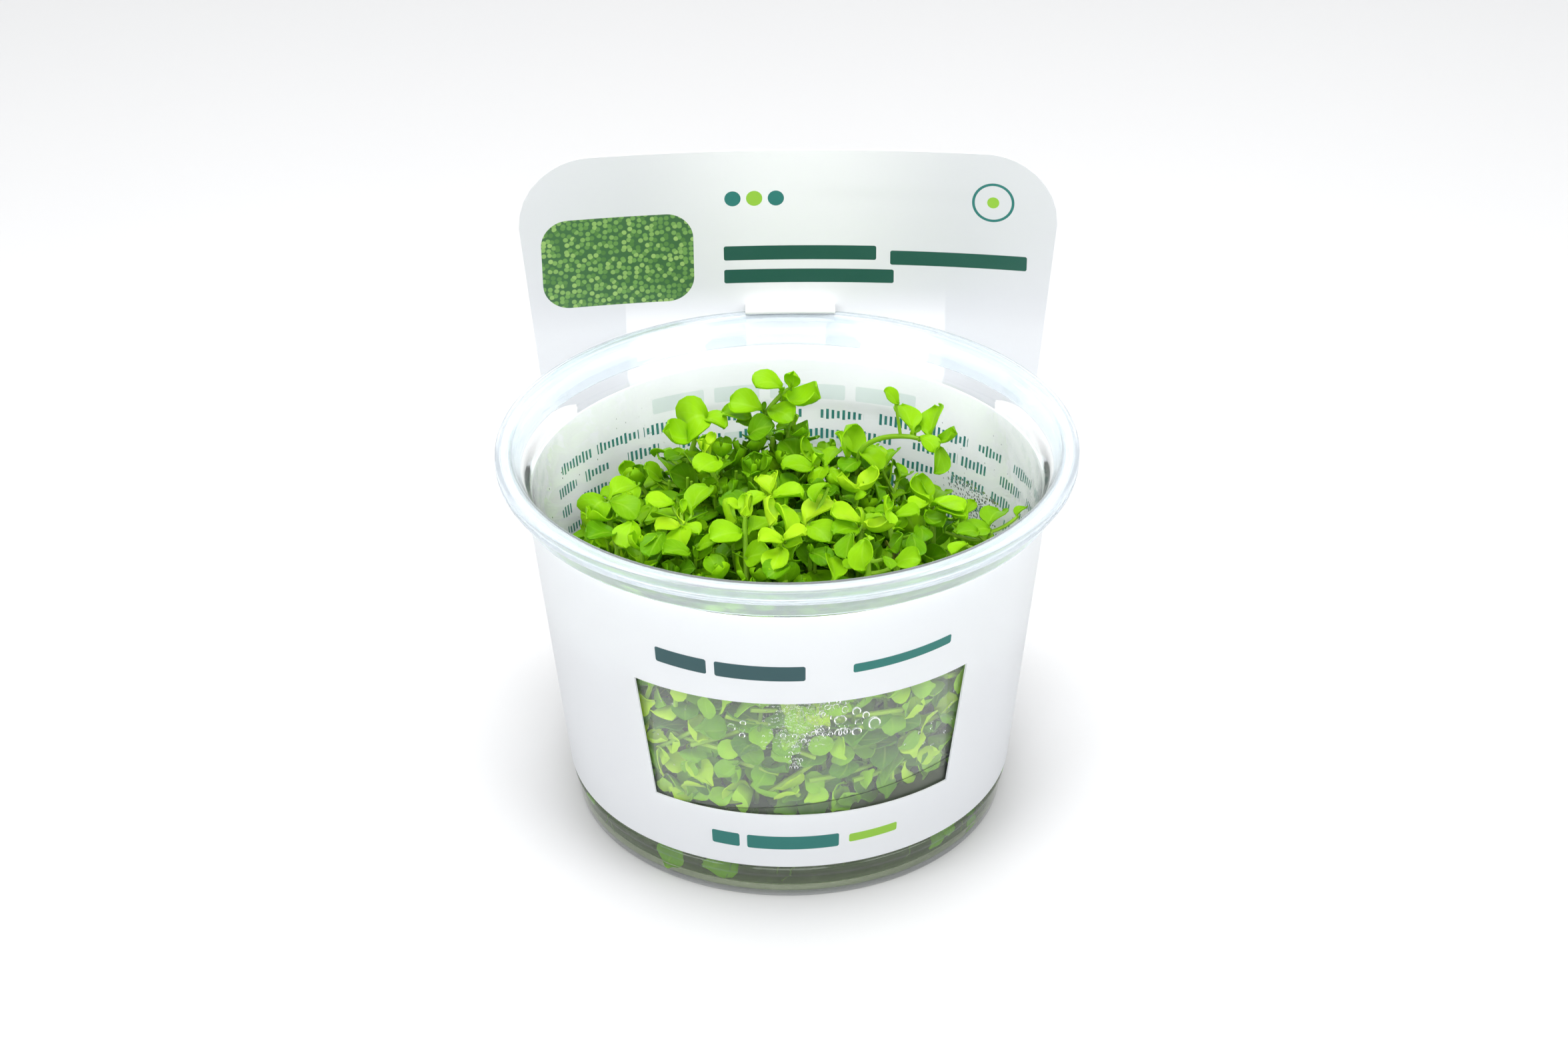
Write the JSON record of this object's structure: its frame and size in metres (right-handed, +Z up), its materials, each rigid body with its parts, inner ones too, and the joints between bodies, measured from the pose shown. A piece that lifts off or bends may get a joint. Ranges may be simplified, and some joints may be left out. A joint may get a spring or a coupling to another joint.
{
  "type": "monte carlo carpet plant in culture cup",
  "caption": "Carpet-forming aquarium plant growing on nutrient gel in a clear round culture cup with a printed sleeve and a header card.",
  "frame": {"origin": "centre of the cup's flat underside, on the surface that the cup stands on", "axes": "+Z up along the cup's axis; -Y is the front, where the sleeve's window is; +X is the cup's right as seen from the front; the header card stands at +Y"},
  "size_m": [0.101, 0.1017, 0.1017],
  "materials": {
    "cup": "gloss",
    "sleeve": "satin",
    "gel": "gloss",
    "growth": "satin",
    "foliage": "satin"
  },
  "bodies": {
    "root": {"culture_cup": "cup", "label_sleeve": "sleeve", "nutrient_gel": "gel", "carpet_growth": "growth", "shoot_01": "foliage", "shoot_02": "foliage", "shoot_03": "foliage", "shoot_04": "foliage", "shoot_05": "foliage", "shoot_06": "foliage", "shoot_07": "foliage", "shoot_08": "foliage", "shoot_09": "foliage", "shoot_10": "foliage", "shoot_11": "foliage", "shoot_12": "foliage", "shoot_13": "foliage", "shoot_14": "foliage", "shoot_15": "foliage", "shoot_16": "foliage", "shoot_17": "foliage", "shoot_18": "foliage", "shoot_19": "foliage", "shoot_20": "foliage", "shoot_21": "foliage", "shoot_22": "foliage", "shoot_23": "foliage", "shoot_24": "foliage", "shoot_25": "foliage", "shoot_26": "foliage", "shoot_27": "foliage", "shoot_28": "foliage", "shoot_29": "foliage", "shoot_30": "foliage"}
  },
  "joints": []
}
